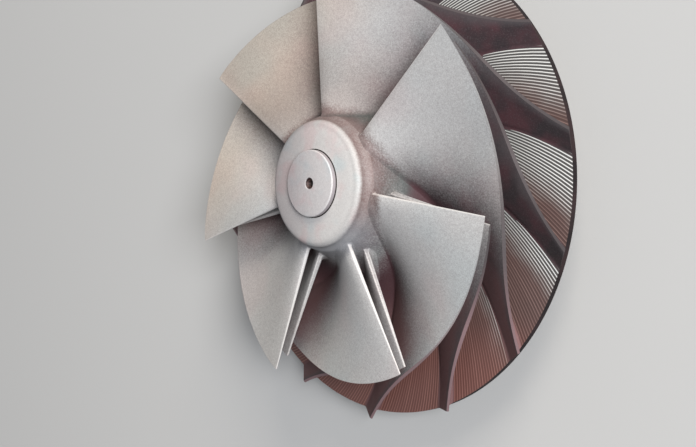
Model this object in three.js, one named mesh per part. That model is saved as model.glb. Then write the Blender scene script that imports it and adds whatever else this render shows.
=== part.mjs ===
// Compressor impeller: a semi-open wheel milled from one forging, with seven full blades and seven
// splitter blades on a flaring hub, on the end of its shaft.
// Millimetres, +Z up towards the inlet. The origin is the centre of the rear boss's flat face.

import * as THREE from "three";
import { mergeVertices } from "three/addons/utils/BufferGeometryUtils.js";

// Driving dimensions
const rimRadius = 200;
const rimHeight = 30; // the floor's outer edge, over the rear boss's flat face
const bladeCount = 7; // full blades, and as many splitters
const firstBladeAngle = 160; // where full blade 1's leading edge stands, in degrees about +Z
const inletRadius = 57; // hub at the leading edges
const inletHeight = 70; // leading edges over the rim
const noseRadius = 53;
const noseHeight = 84; // middle of the nose's front face over the rim
const noseShoulder = 83; // height where its domed face meets its rounded edge
const noseCorner = 5; // radius of the rounded edge
const shaftRadius = 27.8;
const shaftProud = 4.6; // shaft's end face over the nose's front face
const seam = 0.3; // gap between neighbouring solids

// Control points of the two walls of the flow path, from the leading edges to the rim,
// as radius and height over the rim, and how far the blades have wrapped clockwise there, in degrees
const floorRadii = [inletRadius, 58.2, 89.9, 86.7, rimRadius];
const floorHeights = [inletHeight, 58.3, 1.1, 27.4, 0];
const floorWrap = [0, 40.1, 52.8, 63.2, 86.3];
const shroudRadii = [174, 163.5, 168.5, 146, 206.5];
const shroudHeights = [inletHeight, 58, 38.5, 29.5, 9.5];
const shroudWrap = [0, 32, 63.5, 83.2];

// Control points of the nose's line: a neck that flares to the hub, a rounded edge and a domed face
const neckRadii = [inletRadius, 56.2, noseRadius, noseRadius];
const neckHeights = [inletHeight + seam, 73.3, 74, noseShoulder - noseCorner];
const edgeRadii = [noseRadius, noseRadius, noseRadius - noseCorner];
const edgeHeights = [noseShoulder - noseCorner, noseShoulder, noseShoulder];
const domeRadii = [noseRadius - noseCorner, 42, shaftRadius + seam];
const domeHeights = [noseShoulder, noseHeight, noseHeight];

// Blades: a splitter is a full blade from these shares of the two walls on
const splitterStart = { floor: 0.184, shroud: 0.3 };
const rootThickness = 6.5;
const tipThickness = 3.2;
const edgeThickness = 1.8; // rounded leading edge
const leadingTaper = 0.06; // share of the blade's length over which it reaches full thickness
const rootGap = 0.4;
const bladeStations = 20;
const bladeRows = 4;
const stationPower = 1.15; // over 1 crowds the stations towards the leading edge
const stationStep = 0.01; // share of the blade's length on each side that its course is taken from

// Hub
const hubSides = 64;
const shaftSides = 48;
const floorStations = 20;
const inducerFoot = 27; // height where the inducer hub meets the exducer hub
const exducerFoot = 7; // height where the exducer hub meets the back disc
const rimThickness = 6;
const backDepth = 15; // back face beside the boss, below the rim's floor edge
const backFlatRadius = 82; // where that face starts to slope up to the rim
const backKnee = { radius: 160, depth: 8 };
const bossRadius = 62;
const boreRadius = shaftRadius + seam;
const shaftRecess = 2; // shaft's rear face in from the boss's flat face
const chamfer = 1.5;
const centreHole = { mouth: 4.8, radius: 2.2, coneDepth: 4.5, depth: 13 };

const steel = { color: 0xb9b4b4, roughness: 0.6, metalness: 0.6 };
const dusted = new THREE.MeshStandardMaterial({ ...steel, color: 0xc9c4c4 });
const stained = new THREE.MeshStandardMaterial({ ...steel, color: 0x9a8a88 });
const milled = new THREE.MeshStandardMaterial({ ...steel, color: 0xa7a19e, roughness: 0.4, metalness: 0.8 });
const turned = new THREE.MeshStandardMaterial({ ...steel, color: 0xaaa6a4, roughness: 0.35, metalness: 0.9 });

const wheel = new THREE.Group();
wheel.position.z = rimHeight;

// Value of a Bezier curve with these control values
function bezier(controls, t) {
  let row = controls;
  while (row.length > 1) {
    row = row.slice(1).map((value, i) => row[i] * (1 - t) + value * t);
  }
  return row[0];
}

function addMesh(name, geometry, material) {
  geometry.deleteAttribute("normal");
  geometry.deleteAttribute("uv");
  const merged = mergeVertices(geometry, 1e-4);
  merged.computeVertexNormals();
  const mesh = new THREE.Mesh(merged, material);
  mesh.name = name;
  wheel.add(mesh);
}

// Solid of revolution about +Z from a closed outline of [radius, height] points, counter-clockwise
function turnedSolid(outline) {
  const points = [...outline, outline[0]].map(([radius, height]) => new THREE.Vector2(radius, height));
  return new THREE.LatheGeometry(points, hubSides).rotateX(Math.PI / 2);
}

// Points of the milled floor from the leading edges out to the rim
const floorLine = Array.from({ length: floorStations + 1 }, (_, i) => {
  const t = i / floorStations;
  return [bezier(floorRadii, t), bezier(floorHeights, t)];
});

// The same line between two heights, top first, with its ends cut exactly there
function floorBetween(top, bottom) {
  const cutAt = (height) => {
    const i = floorLine.findIndex(([, z]) => z <= height);
    const [[r0, z0], [r1, z1]] = [floorLine[i - 1], floorLine[i]];
    return [r0 + ((r1 - r0) * (z0 - height)) / (z0 - z1), height];
  };
  const between = floorLine.filter(([, z]) => z < top - 0.5 && z > bottom + 0.5);
  return [top < inletHeight ? cutAt(top) : floorLine[0], ...between, bottom > 0 ? cutAt(bottom) : floorLine.at(-1)];
}

// Ring round the bore under a stretch of the floor
function hubRing(top, bottom) {
  const upper = top < inletHeight ? top - seam : top;
  return turnedSolid([[boreRadius, bottom], ...floorBetween(upper, bottom).reverse(), [boreRadius, upper]]);
}

// Points along a Bezier curve, all but its last
function curve(radii, heights, steps) {
  return Array.from({ length: steps }, (_, i) => [bezier(radii, i / steps), bezier(heights, i / steps)]);
}

function addHub() {
  const noseOutline = [
    [boreRadius, neckHeights[0]],
    ...curve(neckRadii, neckHeights, 4),
    ...curve(edgeRadii, edgeHeights, 4),
    ...curve(domeRadii, domeHeights, 3),
    [boreRadius, noseHeight],
  ];
  addMesh("hub_nose", turnedSolid(noseOutline), dusted);
  addMesh("inducer_hub", hubRing(inletHeight, inducerFoot), stained);
  addMesh("exducer_hub", hubRing(inducerFoot, exducerFoot), stained);

  const discTop = exducerFoot - seam;
  const backFace = [
    [boreRadius, -backDepth],
    [backFlatRadius, -backDepth],
    [backKnee.radius, -backKnee.depth],
    [rimRadius, -rimThickness],
  ];
  addMesh("back_disc", turnedSolid([...backFace, ...floorBetween(discTop, 0).reverse(), [boreRadius, discTop]]), milled);

  const bossTop = -backDepth - seam;
  const bossOutline = [
    [boreRadius + chamfer, -rimHeight],
    [bossRadius - chamfer, -rimHeight],
    [bossRadius, -rimHeight + chamfer],
    [bossRadius, bossTop],
    [boreRadius, bossTop],
    [boreRadius, -rimHeight + chamfer],
  ];
  addMesh("rear_boss", turnedSolid(bossOutline), turned);
}

function addShaft() {
  const front = noseHeight + shaftProud;
  const back = -rimHeight + shaftRecess;
  const { mouth, radius, coneDepth, depth } = centreHole;
  const outline = [
    [0, back],
    [shaftRadius - chamfer, back],
    [shaftRadius, back + chamfer],
    [shaftRadius, front - chamfer],
    [shaftRadius - chamfer, front],
    [mouth, front],
    [radius, front - coneDepth],
    [radius, front - depth],
    [0, front - depth - radius],
  ];
  const points = outline.map(([r, z]) => new THREE.Vector2(r, z));
  addMesh("shaft_end", new THREE.LatheGeometry(points, shaftSides).rotateX(Math.PI / 2), turned);
}

const floorPoint = (t) => [bezier(floorRadii, t), bezier(floorHeights, t), bezier(floorWrap, t)];
const shroudPoint = (t) => [bezier(shroudRadii, t), bezier(shroudHeights, t), bezier(shroudWrap, t)];

function toVector([radius, height, wrap], turn) {
  const angle = THREE.MathUtils.degToRad(turn - wrap);
  return new THREE.Vector3(radius * Math.cos(angle), radius * Math.sin(angle), height);
}

// Distance of a point from a wall's line in the radius and height plane, positive on its left
function distanceFrom(line, point) {
  const [r, z] = [Math.hypot(point.x, point.y), point.z];
  let nearest = Infinity;
  for (let i = 1; i < line.length; i += 1) {
    const [[r0, z0], [r1, z1]] = [line[i - 1], line[i]];
    const [dr, dz] = [r1 - r0, z1 - z0];
    const length = Math.hypot(dr, dz);
    const along = THREE.MathUtils.clamp(((r - r0) * dr + (z - z0) * dz) / length ** 2, 0, 1);
    const away = Math.hypot(r - r0 - along * dr, z - z0 - along * dz);
    const side = Math.sign(dr * (z - z0) - dz * (r - r0)) || 1;
    if (away < Math.abs(nearest)) nearest = side * away;
  }
  return nearest;
}

// Slides a blade point along its ruling until it lies this far off a wall's line
function slideTo(line, point, ruling, offset) {
  const step = 0.5;
  for (let pass = 0; pass < 12; pass += 1) {
    const here = distanceFrom(line, point) - offset;
    const ahead = distanceFrom(line, point.clone().addScaledVector(ruling, step)) - offset;
    const slope = (ahead - here) / step;
    if (Math.abs(slope) < 0.05) break;
    point.addScaledVector(ruling, THREE.MathUtils.clamp(-here / slope, -4, 4));
  }
}

// The floor's line, run on past both its ends
const overrun = 20;
const floorWall = [[inletRadius, inletHeight + overrun], ...floorLine, [rimRadius + overrun, 0]];

// A blade is ruled by straight lines from the floor to the shroud line. Its two faces stand off that
// surface by half its thickness, and its root follows the floor.
function bladeGeometry(start, turn) {
  const station = (i) => (i / bladeStations) ** stationPower;
  const centre = (share, row) => {
    const foot = toVector(floorPoint(start.floor + (1 - start.floor) * share), turn);
    const tip = toVector(shroudPoint(start.shroud + (1 - start.shroud) * share), turn);
    return foot.lerp(tip, row);
  };
  const faces = [1, -1].map((side) => {
    const grid = [];
    for (let i = 0; i <= bladeStations; i += 1) {
      const share = station(i);
      const ruling = centre(share, 1).sub(centre(share, 0)).normalize();
      const taper = Math.min(1, share / leadingTaper);
      const rounded = Math.sqrt(taper * (2 - taper));
      for (let j = 0; j <= bladeRows; j += 1) {
        const row = j / bladeRows;
        const ahead = centre(Math.min(1, share + stationStep), row);
        const along = ahead.sub(centre(Math.max(0, share - stationStep), row));
        const normal = along.cross(ruling).normalize();
        const full = rootThickness + (tipThickness - rootThickness) * row;
        const thickness = edgeThickness + (full - edgeThickness) * rounded;
        const point = centre(share, row).addScaledVector(normal, (side * thickness) / 2);
        if (j === 0) slideTo(floorWall, point, ruling, rootGap);
        grid.push(point);
      }
    }
    return grid;
  });
  const rows = bladeRows + 1;
  const count = faces[0].length;
  const positions = faces.flat().flatMap((point) => [point.x, point.y, point.z]);
  const triangles = [];
  const quad = (a, b, c, d) => triangles.push(a, b, c, a, c, d);
  for (let i = 0; i < bladeStations; i += 1) {
    for (let j = 0; j < bladeRows; j += 1) {
      const a = i * rows + j;
      quad(a, a + rows, a + rows + 1, a + 1);
      quad(count + a, count + a + 1, count + a + rows + 1, count + a + rows);
    }
    const [root, tip] = [i * rows, i * rows + bladeRows];
    quad(root, count + root, count + root + rows, root + rows);
    quad(tip, tip + rows, count + tip + rows, count + tip);
  }
  const last = bladeStations * rows;
  for (let j = 0; j < bladeRows; j += 1) {
    quad(j, j + 1, count + j + 1, count + j);
    quad(last + j, count + last + j, count + last + j + 1, last + j + 1);
  }
  const geometry = new THREE.BufferGeometry();
  geometry.setAttribute("position", new THREE.Float32BufferAttribute(positions, 3));
  geometry.setIndex(triangles);
  return geometry;
}

function addBlades() {
  const pitch = 360 / bladeCount;
  for (let n = 0; n < bladeCount; n += 1) {
    const turn = firstBladeAngle - n * pitch;
    addMesh(`full_blade_${n + 1}`, bladeGeometry({ floor: 0, shroud: 0 }, turn), dusted);
    addMesh(`splitter_blade_${n + 1}`, bladeGeometry(splitterStart, turn + pitch / 2), dusted);
  }
}

addHub();
addShaft();
addBlades();

export default wheel;
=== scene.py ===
# %% [markdown]
# A compressor impeller
#
# The wheel is milled from one forging: seven full blades and seven splitter blades wrap clockwise round a
# hub that flares out to the rim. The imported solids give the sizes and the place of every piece. This lesson
# models the finished surfaces round them, with rounded leading edges, cutter fillets, a floor full of milling
# cusps, and the dust and stains of years of service.

import math

import bmesh
import bpy
from mathutils import Matrix, Vector


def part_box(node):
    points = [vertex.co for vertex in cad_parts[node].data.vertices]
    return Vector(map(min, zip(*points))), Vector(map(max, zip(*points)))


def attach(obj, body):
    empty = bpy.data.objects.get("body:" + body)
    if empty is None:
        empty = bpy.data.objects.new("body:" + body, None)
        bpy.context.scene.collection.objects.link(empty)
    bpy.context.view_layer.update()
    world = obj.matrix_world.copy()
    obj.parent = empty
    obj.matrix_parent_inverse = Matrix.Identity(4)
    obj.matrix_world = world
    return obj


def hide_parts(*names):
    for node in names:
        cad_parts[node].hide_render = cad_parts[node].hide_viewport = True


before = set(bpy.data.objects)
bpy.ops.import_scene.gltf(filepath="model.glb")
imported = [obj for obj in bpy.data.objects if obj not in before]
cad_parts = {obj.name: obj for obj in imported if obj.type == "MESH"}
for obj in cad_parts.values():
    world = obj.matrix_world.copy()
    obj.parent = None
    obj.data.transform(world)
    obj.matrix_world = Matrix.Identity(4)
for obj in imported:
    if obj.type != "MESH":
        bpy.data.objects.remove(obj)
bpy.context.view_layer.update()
print("frame loaded:", len(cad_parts), "nodes")

# %% [markdown]
# Sizes
#
# The blades stand between two walls: the floor, which is the hub's surface, and the shroud line, which the
# blade tips follow. Each wall could be drawn as a mesh, but then the floor, the blades and the fillets would
# each need a copy that fits. Here each wall is a smooth curve of radius and height, with one more value for
# how far the blades have wrapped round the axis there. A Bezier curve holds each of them in four or five
# numbers, so the same few values drive every piece that meets the wall.

# %% Driving sizes, in metres and degrees
MM = 0.001
BLADES = 7
PITCH = 360 / BLADES
FIRST_BLADE = 160
RIM_HEIGHT = 30 * MM
RIM_RADIUS = 200 * MM
INLET_HEIGHT = 70 * MM
JOINT = 0.3 * MM
shaft_low, shaft_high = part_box("shaft_end")
nose_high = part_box("hub_nose")[1]
boss_low, boss_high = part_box("rear_boss")
disc_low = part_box("back_disc")[0]
BORE_RADIUS = shaft_high.x + JOINT
print("the wheel stands", round(nose_high.z - boss_low.z, 4), "m high")
print("its bore has a radius of", round(BORE_RADIUS, 4), "m")

# %% The two walls: radii and heights above the rim in millimetres, wrap in degrees
FLOOR_RADII = [57, 58.2, 89.9, 86.7, 200]
FLOOR_HEIGHTS = [70, 58.3, 1.1, 27.4, 0]
FLOOR_WRAP = [0, 40.1, 52.8, 63.2, 86.3]
SHROUD_RADII = [174, 163.5, 168.5, 146, 206.5]
SHROUD_HEIGHTS = [70, 58, 38.5, 29.5, 9.5]
SHROUD_WRAP = [0, 32, 63.5, 83.2]


def bezier(controls, t):
    row = list(controls)
    while len(row) > 1:
        row = [a * (1 - t) + b * t for a, b in zip(row, row[1:])]
    return row[0]


def wall_point(radii, heights, wraps, t, turn):
    angle = math.radians(turn - bezier(wraps, t))
    radius = bezier(radii, t) * MM
    return Vector((radius * math.cos(angle), radius * math.sin(angle), RIM_HEIGHT + bezier(heights, t) * MM))


def floor_point(t, turn=0.0):
    return wall_point(FLOOR_RADII, FLOOR_HEIGHTS, FLOOR_WRAP, t, turn)


def shroud_point(t, turn=0.0):
    return wall_point(SHROUD_RADII, SHROUD_HEIGHTS, SHROUD_WRAP, t, turn)


print("rim", round(RIM_RADIUS, 3), "m, floor ends at", tuple(round(v, 3) for v in floor_point(1.0)))

# %% [markdown]
# The line of the nose
#
# The nose is a gently domed cap. Its edge turns over in a small radius, and a neck flares out again to meet
# the hub at the leading edges. It could be a cylinder with a bevel, but the blades' fillets climb on to this
# neck and the stain follows it, so its line is worked out first, as two curves with an arc between them.

# %% Nose line, from the hub up and in to the joint with the shaft
NECK_RADIUS = 57 * MM
NECK_WAIST, NECK_FLARE, NECK_STRAIGHT = 0.8 * MM, 3 * MM, 4 * MM
NOSE_RADIUS = 53 * MM
NOSE_CORNER = 5 * MM
NOSE_DOME = 1 * MM
NOSE_STEPS = 8
DOME_SHOULDER, DOME_FLAT = 42 * MM, 4 * MM
GROOVE_RADIUS = shaft_high.x + 0.6 * MM
GROOVE_LIP = 0.4 * MM
NOSE_SHOULDER = nose_high.z - NOSE_DOME - NOSE_CORNER * (1 - math.sin(math.radians(45)))
corner_middle = (NOSE_RADIUS - NOSE_CORNER, nose_high.z - NOSE_DOME - NOSE_CORNER)
inlet = (NECK_RADIUS, RIM_HEIGHT + INLET_HEIGHT)


def curve(radii, heights):
    """Evenly spaced points of a Bezier curve, in (radius, height)."""
    steps = [i / NOSE_STEPS for i in range(NOSE_STEPS + 1)]
    return [(bezier(radii, t), bezier(heights, t)) for t in steps]


neck_line = curve([inlet[0], inlet[0] - NECK_WAIST, NOSE_RADIUS, NOSE_RADIUS],
                  [inlet[1], inlet[1] + NECK_FLARE, corner_middle[1] - NECK_STRAIGHT, corner_middle[1]])
dome_line = curve([corner_middle[0], DOME_SHOULDER, GROOVE_RADIUS + DOME_FLAT, GROOVE_RADIUS + GROOVE_LIP],
                  [corner_middle[1] + NOSE_CORNER, nose_high.z, nose_high.z, nose_high.z])
print("the nose turns over at", round(NOSE_SHOULDER, 4), "m")

# %% [markdown]
# A short way to wire materials
#
# Every finish here is a chain of noise, ramps and mixes. It could be wired by hand in the shader editor, but
# a written chain can be read, and shared between finishes. A small class keeps each node to one line: it adds
# the node, sets its properties, and plugs in either a plain value or another node's output.

# %% A material's node tree
class Finish:
    """A material under way: its node tree, its shader, and the object's own coordinates."""

    def __init__(self, name):
        self.material = bpy.data.materials.new(name)
        self.material.use_nodes = True
        self.tree = self.material.node_tree
        self.tree.nodes.clear()
        self.output = self.tree.nodes.new("ShaderNodeOutputMaterial")
        self.shader = self.tree.nodes.new("ShaderNodeBsdfPrincipled")
        self.tree.links.new(self.shader.outputs[0], self.output.inputs["Surface"])
        self.place = self.tree.nodes.new("ShaderNodeTexCoord").outputs["Object"]

    def add(self, kind, sockets=None, out=0, **settings):
        node = self.tree.nodes.new("ShaderNode" + kind)
        for key, value in settings.items():
            setattr(node, key, value)
        for key, value in (sockets or {}).items():
            self.plug(node.inputs[key], value)
        return node.outputs[out]

    def plug(self, socket, value):
        if isinstance(value, bpy.types.NodeSocket):
            self.tree.links.new(value, socket)
        else:
            socket.default_value = value

    def set(self, **sockets):
        for key, value in sockets.items():
            self.plug(self.shader.inputs[key.replace("_", " ")], value)

    def noise(self, scale, detail=3.0, roughness=0.5, place=None):
        sockets = {"Vector": place or self.place, "Scale": scale, "Detail": detail, "Roughness": roughness}
        return self.add("TexNoise", sockets)

    def remap(self, value, low, high, to_low=0.0, to_high=1.0, smooth=True):
        sockets = {"Value": value, "From Min": low, "From Max": high, "To Min": to_low, "To Max": to_high}
        kind = "SMOOTHSTEP" if smooth else "LINEAR"
        return self.add("MapRange", sockets, interpolation_type=kind)

    def math(self, operation, a, b=0.0, clamp=False):
        return self.add("Math", {0: a, 1: b}, operation=operation, use_clamp=clamp)

    def mix(self, factor, a, b, blend="MIX"):
        sockets = {"Factor": factor, 6: a, 7: b}
        return self.add("Mix", sockets, out=2, data_type="RGBA", blend_type=blend)

    def attribute(self, name):
        return self.add("Attribute", attribute_name=name, out=2)

    def bump(self, height, distance, strength=1.0, normal=None):
        sockets = {"Height": height, "Distance": distance, "Strength": strength}
        if normal is not None:
            sockets["Normal"] = normal
        return self.add("Bump", sockets)


def rgb(red, green, blue):
    return (red, green, blue, 1.0)


# %% Sums, products and tints
def total(f, first, *others):
    for other in others:
        first = f.math("ADD", first, other)
    return first


def product(f, first, *others):
    for other in others:
        first = f.math("MULTIPLY", first, other)
    return first


def tinted(f, factor, colour, tint):
    """A colour multiplied by a tint, as far as the factor says."""
    return f.mix(factor, colour, tint, "MULTIPLY")


# %% Places on the wheel
def at(f, letter):
    """One of the point's own coordinates: X, Y or Z."""
    return f.add("SeparateXYZ", {0: f.place}, out="XYZ".index(letter))


def from_axis(f):
    """The point's distance from the wheel's axis."""
    x, y = at(f, "X"), at(f, "Y")
    return f.math("SQRT", total(f, product(f, x, x), product(f, y, y)))


def toward(f, way):
    """How far the point lies along a direction across the wheel, given as (x, y)."""
    return total(f, product(f, at(f, "X"), way[0]), product(f, at(f, "Y"), way[1]))


# %% Noise made useful
ELSEWHERE = (3.0, 1.0, 2.0)


def wander(f, scale, width):
    """A soft shift to and fro, to keep the edge of a stain from being a plain line."""
    return product(f, f.math("SUBTRACT", f.noise(scale), 0.5), width)


def patches(f, scale, edge, levels=(0.0, 1.0), detail=3.0, roughness=0.5, place=None):
    """A mask of soft patches: noise that goes from nothing to full between two of its own values."""
    return f.remap(f.noise(scale, detail, roughness, place), *edge, *levels)


# %% [markdown]
# Service dust
#
# A fine pale dust has settled on everything that faces the inlet. It is nearly matte, grey-white, with very
# faint patches of pink and of blue-green, and a fine speckle. Light and shade are painted on it too: a warm
# tint for warm light on one side of the wheel, and painted shade near the hub above the nose, on the upper
# blades, beside the nose past the first blade and towards the lower left. The wheel has served with its axis
# level and +Y upwards, so above, below, upper and lower mean that way in all the finishes. A painted image
# could hold all this, but the blades would have to be unwrapped for it, and it would blur close up. Noise on
# the object's own coordinates needs no unwrapping, and it runs on unbroken from one piece to the next.

# %% Dust colours, and where each tint begins and is full
DUST = rgb(0.64, 0.63, 0.62)
DUST_PINK = rgb(0.655, 0.61, 0.60)
DUST_BLUE = rgb(0.605, 0.63, 0.63)
GRAIN = rgb(0.50, 0.47, 0.48)
# Painted warm light: a warm tint that stands in for warm light on the side round blade 1
PAINTED_WARM_LIGHT = rgb(1.0, 0.84, 0.68)
# Painted shade: darker and browner near the hub on the upper side
INNER_SHADE = rgb(0.74, 0.68, 0.65)
# Painted shade: a grey darkening on the upper blades
UPPER_SHADE = rgb(0.75, 0.755, 0.765)
# Painted shade beside the nose, past the first blade's leading edge
BESIDE_NOSE_SHADE = rgb(0.70, 0.68, 0.665)
# Painted shade: darker towards the lower left of the wheel
LOWER_LEFT_SHADE = rgb(0.80, 0.79, 0.77)
PINK_CLOUDS, BLUE_CLOUDS = (14.0, (0.48, 0.68)), (11.0, (0.50, 0.70))
COARSE_SPECKS, FINE_SPECKS = (420.0, (0.36, 0.66)), (1100.0, (0.35, 0.65))
COARSE_GRAIN, FINE_GRAIN = 0.25, 0.45
GRIT_SCALE, GRIT_HEIGHT, GRIT_STRENGTH = 1400.0, 0.12 * MM, 0.6
WARM_WAY, WARM_REACH, WARM_COVER = (-0.85, 0.5), (50 * MM, 130 * MM), (0.0, 0.55)
WARM_WANDER = (16.0, 50 * MM)
INNER_SHADE_RADII, INNER_SHADE_X, INNER_SHADE_Y = (145 * MM, 80 * MM), (55 * MM, 15 * MM), (0 * MM, 50 * MM)
UPPER_SHADE_X, UPPER_SHADE_Y = (-100 * MM, -30 * MM), (30 * MM, 90 * MM)
PAST_FIRST_EDGE, PAST_REACH = (-math.tan(math.radians(FIRST_BLADE)), 1.0), (-10 * MM, 10 * MM)
BESIDE_NOSE, BESIDE_REACH = (1.0, 0.32), (0 * MM, -30 * MM)
LOWER_LEFT_WAY, LOWER_LEFT_REACH = (-0.6, -0.8), (40 * MM, 130 * MM)


# %% Dust on the blades
def clouded(f, colours, pink_clouds, blue_clouds):
    """A plain colour with faint clouds of pink and blue, each a noise scale and the values at its edge."""
    plain, pink, blue = colours
    elsewhere = f.add("Mapping", {"Vector": f.place, "Location": ELSEWHERE})
    pinker = patches(f, *pink_clouds, detail=2.0)
    bluer = patches(f, *blue_clouds, detail=2.0, place=elsewhere)
    return f.mix(bluer, f.mix(pinker, plain, pink), blue)


def grained(f, colour, grit):
    """A fine dark speckle over a colour."""
    coarse = patches(f, *COARSE_SPECKS, detail=4.0, roughness=0.8)
    fine = patches(f, *FINE_SPECKS, detail=2.0, roughness=0.8)
    grain = total(f, product(f, coarse, COARSE_GRAIN * grit), product(f, fine, FINE_GRAIN * grit))
    return tinted(f, grain, colour, GRAIN)


def dust_and_painted_light(f):
    """Pale dust, with painted warm light round blade 1 and painted shade in a few more places."""
    colour = clouded(f, (DUST, DUST_PINK, DUST_BLUE), PINK_CLOUDS, BLUE_CLOUDS)
    # A warm tint painted on one side of the wheel, as painted warm light
    warm_light = f.remap(total(f, toward(f, WARM_WAY), wander(f, *WARM_WANDER)), *WARM_REACH, *WARM_COVER)
    colour = tinted(f, warm_light, colour, PAINTED_WARM_LIGHT)
    # Painted shade near the hub on the upper side
    inner = product(f, f.remap(from_axis(f), *INNER_SHADE_RADII), f.remap(at(f, "X"), *INNER_SHADE_X))
    colour = tinted(f, product(f, inner, f.remap(at(f, "Y"), *INNER_SHADE_Y)), colour, INNER_SHADE)
    # Painted shade on the upper blades
    upper = product(f, f.remap(at(f, "Y"), *UPPER_SHADE_Y), f.remap(at(f, "X"), *UPPER_SHADE_X))
    colour = tinted(f, upper, colour, UPPER_SHADE)
    # Painted shade beside the nose, past the first blade's leading edge
    past_edge = f.remap(toward(f, PAST_FIRST_EDGE), *PAST_REACH)
    beside = f.remap(toward(f, BESIDE_NOSE), *BESIDE_REACH)
    colour = tinted(f, product(f, past_edge, beside), colour, BESIDE_NOSE_SHADE)
    # Painted shade towards the lower left
    colour = tinted(f, f.remap(toward(f, LOWER_LEFT_WAY), *LOWER_LEFT_REACH), colour, LOWER_LEFT_SHADE)
    return grained(f, colour, 1.0)


def grit_bump(f):
    """The dust's own roughness, too fine for the mesh."""
    return f.bump(f.noise(GRIT_SCALE, detail=2.0, roughness=0.7), GRIT_HEIGHT, GRIT_STRENGTH)


# %% [markdown]
# The stain round the neck
#
# Round the neck of the nose a pinkish brown stain shows through the dust, and it is greyer on the lower side.
# It could be painted on each blade's root, but it lies on the hub and the blades alike. So its edge depends
# only on the distances from the axis and along it, and every finish that it reaches calls the same function.
# Ragged noise breaks the edge up, and grains of dust stay on the stain.

# %% Stain
STAIN = rgb(0.150, 0.098, 0.092)
STAIN_GREY = rgb(0.225, 0.225, 0.24)
GREY_BELOW = (0 * MM, -40 * MM)
STAIN_RADII = (NECK_RADIUS + 13 * MM, NECK_RADIUS + 2 * MM)
STAIN_HEIGHTS = (RIM_HEIGHT + 22 * MM, RIM_HEIGHT + 48 * MM)
STAIN_PATCHES, STAIN_GRAINS = (90.0, (0.3, 0.75), (1.0, 0.85)), (800.0, (0.36, 0.66), (1.0, 0.80))
STAIN_EDGE, STAIN_RAGGED, STAIN_TOP = (60.0, 12 * MM), (700.0, 14 * MM), (40.0, 30 * MM)


def stained(f, mask, colour):
    """Lays the brown and grey stain of the neck over a colour, with dust grains left on it."""
    stain = f.mix(f.remap(at(f, "Y"), *GREY_BELOW), STAIN, STAIN_GREY)
    patchy = patches(f, *STAIN_PATCHES, roughness=0.6)
    grains = patches(f, *STAIN_GRAINS, roughness=0.7)
    return f.mix(product(f, mask, patchy, grains), colour, stain)


def neck_stain(f, colour):
    """The stain on the hub and the blades: strongest just behind the nose."""
    radius = total(f, from_axis(f), wander(f, *STAIN_EDGE), wander(f, *STAIN_RAGGED))
    height = total(f, at(f, "Z"), wander(f, *STAIN_TOP))
    return stained(f, product(f, f.remap(radius, *STAIN_RADII), f.remap(height, *STAIN_HEIGHTS)), colour)


# %% [markdown]
# The film in the passages
#
# Deep in the passages the dust gives way to a dark mauve film. Its darkness is partly the deposit and partly
# painted shade, deepest in the passages and at the blades' roots. It is grey-green by the inner floor, dull
# red at the blades' roots, redder lower down, and dusted again at the tips. The border runs with the flow
# and along no axis, so a mask made from coordinates can't follow it. The meshes carry attributes instead:
# share is how far a point lies along its passage or blade, and span is how far up the blade it lies. Fine
# noise in the border makes it a scatter of grains.

# %% Film
FILM_RED = rgb(0.080, 0.028, 0.035)
FILM_DARK = rgb(0.030, 0.021, 0.024)
FILM_GREEN = rgb(0.055, 0.060, 0.058)
FILM_LOWER = rgb(0.145, 0.068, 0.068)
# Painted shade: the film at the roots is painted darker than the deposit
ROOT_FILM_AND_SHADE = rgb(0.046, 0.009, 0.014)
FILM_TIP = rgb(0.080, 0.068, 0.072)
SPECKS = rgb(0.16, 0.13, 0.135)
REDDER_BELOW, REDDER_SHARE = (0 * MM, -80 * MM), (0.40, 0.65)
INNER_SHARE, OUTER_SHARE = (0.26, 0.38), (0.80, 0.60)
OUTER_COVER = (0.0, 0.85)
TIP_SPAN, TIP_WANDER, TIP_COVER = (0.80, 1.04), (40.0, 0.25), 0.85
FILM_MOTTLE, GREEN_MOTTLE = (42.0, (0.28, 0.70)), (30.0, (0.35, 0.60), (0.35, 1.0))
FILM_SPECKS, SPECKS_COVER = (900.0, (0.50, 0.72)), (0.32, 0.14)


def film_and_shade_colour(f, share, span, root):
    """Mottled dull red and dark grey, partly painted shade, a little different by the inner floor, the roots
    and the tips, and painted darker at the roots as shade.
    """
    colour = f.mix(patches(f, *FILM_MOTTLE), FILM_RED, FILM_DARK)
    lower = product(f, f.remap(at(f, "Y"), *REDDER_BELOW), f.remap(share, *REDDER_SHARE))
    colour = f.mix(lower, colour, FILM_LOWER)
    past_inner = f.remap(share, *INNER_SHARE)
    middle = product(f, past_inner, f.remap(share, *OUTER_SHARE, *OUTER_COVER))
    # At the roots the film is painted darker, as painted shade
    colour = f.mix(product(f, root, middle), colour, ROOT_FILM_AND_SHADE)
    inner = f.math("SUBTRACT", 1.0, past_inner)
    mottle = patches(f, *GREEN_MOTTLE)
    colour = f.mix(product(f, root, inner, mottle), colour, FILM_GREEN)
    tip = f.remap(total(f, span, wander(f, *TIP_WANDER)), *TIP_SPAN)
    colour = f.mix(product(f, tip, TIP_COVER), colour, FILM_TIP)
    specks = patches(f, *FILM_SPECKS, roughness=0.7)
    return f.mix(product(f, specks, f.remap(root, 0.0, 1.0, *SPECKS_COVER)), colour, SPECKS)


# %% From dust to film
FILM_BORDER = (0.27, 0.72)
ROOT_UPWARD, ROOT_SHIFT = (-90 * MM, 0 * MM), (0.08, 0.23)
WHEEL_UPWARD, UPPER_SHIFT = (-80 * MM, 80 * MM), (-0.03, 0.05)
SPAN_SHIFT, TIP_SHIFT = 0.16, -0.07
ROOT_FADE, TIP_RISE = 3.0, 4.0
BORDER_WANDER, BORDER_GRAINS = (25.0, 0.12), (750.0, 0.22)
FILM_COVER = 0.96


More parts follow.
